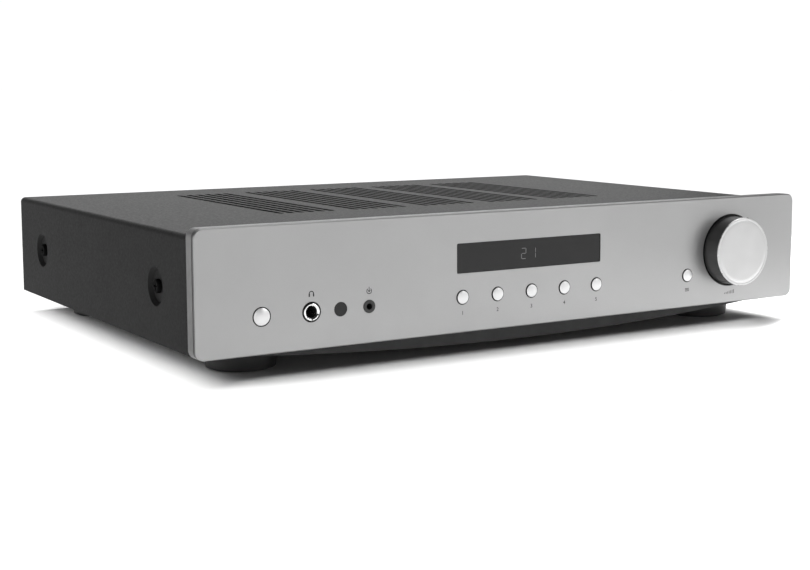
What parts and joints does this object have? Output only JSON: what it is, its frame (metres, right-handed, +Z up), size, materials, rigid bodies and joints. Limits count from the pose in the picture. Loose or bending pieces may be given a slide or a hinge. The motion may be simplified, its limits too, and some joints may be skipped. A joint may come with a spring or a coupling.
{
  "type": "integrated amplifier",
  "caption": "Low flat stereo integrated amplifier with a flat metal front, display, push buttons, turning volume knob, headphone socket, vented cover and rear sockets.",
  "frame": {"origin": "middle of the footprint, on the surface that the feet stand on", "axes": "+Z up, -Y the front with the controls, +X to the right seen from the front"},
  "size_m": [0.43, 0.335, 0.083],
  "materials": {
    "fascia_plate": "fine bead-blasted, satin",
    "fascia_frame": "moulded, satin",
    "display_window": "smoked acrylic",
    "ir_window": "dark infra-red lens",
    "buttons": "silver satin",
    "knob": "turned, satin",
    "black_plastic": "moulded",
    "bright_metal": "bright plated",
    "steel_shaft": "turned",
    "aux_collar": "nickel plated",
    "circuit_board": "green solder mask",
    "components": "moulded cases",
    "display_glass": "dark display glass",
    "ribbon": "flat cable",
    "cover_paint": "fine texture powder coat",
    "zinc_steel": "zinc plated sheet",
    "black_steel": "fine texture powder coat",
    "rubber": "soft pad",
    "black_screw": "black zinc",
    "plated_contacts": "gold flash plated",
    "post_caps": "moulded with coloured ring",
    "winding_tape": "polyester tape",
    "sink_aluminium": "extruded",
    "capacitor_sleeve": "shrink sleeve",
    "wire": "insulated wire"
  },
  "bodies": {
    "root": {"aux_jack": "aux_collar", "board_components": "components", "board_standoffs": "zinc_steel", "case_screws": "black_screw", "chassis_tray": "zinc_steel", "control_board": "circuit_board", "control_board_parts": "components", "display_module": "display_glass", "display_window": "display_window", "encoder_body": "steel_shaft", "fascia_frame": "fascia_frame", "fascia_plate": "fascia_plate", "feet": "black_plastic", "foot_pads": "rubber", "front_skirt": "black_plastic", "front_subpanel": "zinc_steel", "headphone_jack": "black_plastic", "headphone_jack_nut": "bright_metal", "heatsink": "sink_aluminium", "inlet_blades": "bright_metal", "input_block": "black_plastic", "internal_leads": "wire", "ir_window": "ir_window", "main_board": "circuit_board", "mains_inlet": "black_plastic", "output_transistors": "components", "power_board": "circuit_board", "rear_panel": "black_steel", "reservoir_capacitors": "capacitor_sleeve", "ribbon_cable": "ribbon", "small_screws": "black_screw", "socket_shells": "plated_contacts", "switch_housing": "black_plastic", "terminal_base": "black_plastic", "terminal_studs": "plated_contacts", "top_cover": "cover_paint", "transformer": "winding_tape", "transformer_bolt": "zinc_steel", "transformer_pads": "rubber"},
    "power_button": {"power_button": "buttons"},
    "source_button_1": {"source_button_1": "buttons"},
    "source_button_2": {"source_button_2": "buttons"},
    "source_button_3": {"source_button_3": "buttons"},
    "source_button_4": {"source_button_4": "buttons"},
    "source_button_5": {"source_button_5": "buttons"},
    "menu_button": {"menu_button": "buttons"},
    "volume_knob": {"volume_knob": "knob", "knob_hub": "black_plastic", "encoder_shaft": "steel_shaft"},
    "post_washer_1": {"post_washer_1": "bright_metal"},
    "post_cap_1": {"post_cap_1": "post_caps"},
    "post_washer_2": {"post_washer_2": "bright_metal"},
    "post_cap_2": {"post_cap_2": "post_caps"},
    "post_washer_3": {"post_washer_3": "bright_metal"},
    "post_cap_3": {"post_cap_3": "post_caps"},
    "post_washer_4": {"post_washer_4": "bright_metal"},
    "post_cap_4": {"post_cap_4": "post_caps"},
    "ground_washer": {"ground_washer": "bright_metal"},
    "ground_nut": {"ground_nut": "bright_metal"},
    "mains_rocker": {"mains_rocker": "black_plastic"}
  },
  "joints": [
    {"name": "power_button_press", "type": "slide", "parent": "root", "child": "power_button", "axis": [0, 1, 0], "range_m": [0, 0.0006], "stiffness_N_per_m": 300, "springref_m": -0.003},
    {"name": "source_button_1_press", "type": "slide", "parent": "root", "child": "source_button_1", "axis": [0, 1, 0], "range_m": [0, 0.0006], "stiffness_N_per_m": 300, "springref_m": -0.003},
    {"name": "source_button_2_press", "type": "slide", "parent": "root", "child": "source_button_2", "axis": [0, 1, 0], "range_m": [0, 0.0006], "stiffness_N_per_m": 300, "springref_m": -0.003},
    {"name": "source_button_3_press", "type": "slide", "parent": "root", "child": "source_button_3", "axis": [0, 1, 0], "range_m": [0, 0.0006], "stiffness_N_per_m": 300, "springref_m": -0.003},
    {"name": "source_button_4_press", "type": "slide", "parent": "root", "child": "source_button_4", "axis": [0, 1, 0], "range_m": [0, 0.0006], "stiffness_N_per_m": 300, "springref_m": -0.003},
    {"name": "source_button_5_press", "type": "slide", "parent": "root", "child": "source_button_5", "axis": [0, 1, 0], "range_m": [0, 0.0006], "stiffness_N_per_m": 300, "springref_m": -0.003},
    {"name": "menu_button_press", "type": "slide", "parent": "root", "child": "menu_button", "axis": [0, 1, 0], "range_m": [0, 0.0006], "stiffness_N_per_m": 300, "springref_m": -0.003},
    {"name": "volume_turn", "type": "hinge", "parent": "root", "child": "volume_knob", "pos_m": [0.1584, -0.16, 0.0486], "axis": [0, 1, 0], "continuous": true},
    {"name": "post_cap_1_slide", "type": "slide", "parent": "root", "child": "post_washer_1", "axis": [0, 1, 0], "range_m": [0, 0.004]},
    {"name": "post_cap_1_turn", "type": "hinge", "parent": "post_washer_1", "child": "post_cap_1", "pos_m": [0.05452, 0.16, 0.046], "axis": [0, 1, 0], "range_deg": [0, 1441.44]},
    {"name": "post_cap_2_slide", "type": "slide", "parent": "root", "child": "post_washer_2", "axis": [0, 1, 0], "range_m": [0, 0.004]},
    {"name": "post_cap_2_turn", "type": "hinge", "parent": "post_washer_2", "child": "post_cap_2", "pos_m": [0.03547, 0.16, 0.046], "axis": [0, 1, 0], "range_deg": [0, 1441.44]},
    {"name": "post_cap_3_slide", "type": "slide", "parent": "root", "child": "post_washer_3", "axis": [0, 1, 0], "range_m": [0, 0.004]},
    {"name": "post_cap_3_turn", "type": "hinge", "parent": "post_washer_3", "child": "post_cap_3", "pos_m": [0.00453, 0.16, 0.046], "axis": [0, 1, 0], "range_deg": [0, 1441.44]},
    {"name": "post_cap_4_slide", "type": "slide", "parent": "root", "child": "post_washer_4", "axis": [0, 1, 0], "range_m": [0, 0.004]},
    {"name": "post_cap_4_turn", "type": "hinge", "parent": "post_washer_4", "child": "post_cap_4", "pos_m": [-0.01452, 0.16, 0.046], "axis": [0, 1, 0], "range_deg": [0, 1441.44]},
    {"name": "ground_nut_slide", "type": "slide", "parent": "root", "child": "ground_washer", "axis": [0, 1, 0], "range_m": [0, 0.0028]},
    {"name": "ground_nut_turn", "type": "hinge", "parent": "ground_washer", "child": "ground_nut", "pos_m": [0.198, 0.154, 0.051], "axis": [0, 1, 0], "range_deg": [0, 1441.44]},
    {"name": "mains_rocker_tilt", "type": "hinge", "parent": "root", "child": "mains_rocker", "pos_m": [-0.118, 0.1475, 0.048], "axis": [1, 0, 0], "range_deg": [-16, 0]}
  ],
  "couplings": [
    {"joint": "post_cap_1_turn", "follows": "post_cap_1_slide", "rad_per_m": 6283.2},
    {"joint": "post_cap_2_turn", "follows": "post_cap_2_slide", "rad_per_m": 6283.2},
    {"joint": "post_cap_3_turn", "follows": "post_cap_3_slide", "rad_per_m": 6283.2},
    {"joint": "post_cap_4_turn", "follows": "post_cap_4_slide", "rad_per_m": 6283.2},
    {"joint": "ground_nut_turn", "follows": "ground_nut_slide", "rad_per_m": 8976}
  ]
}
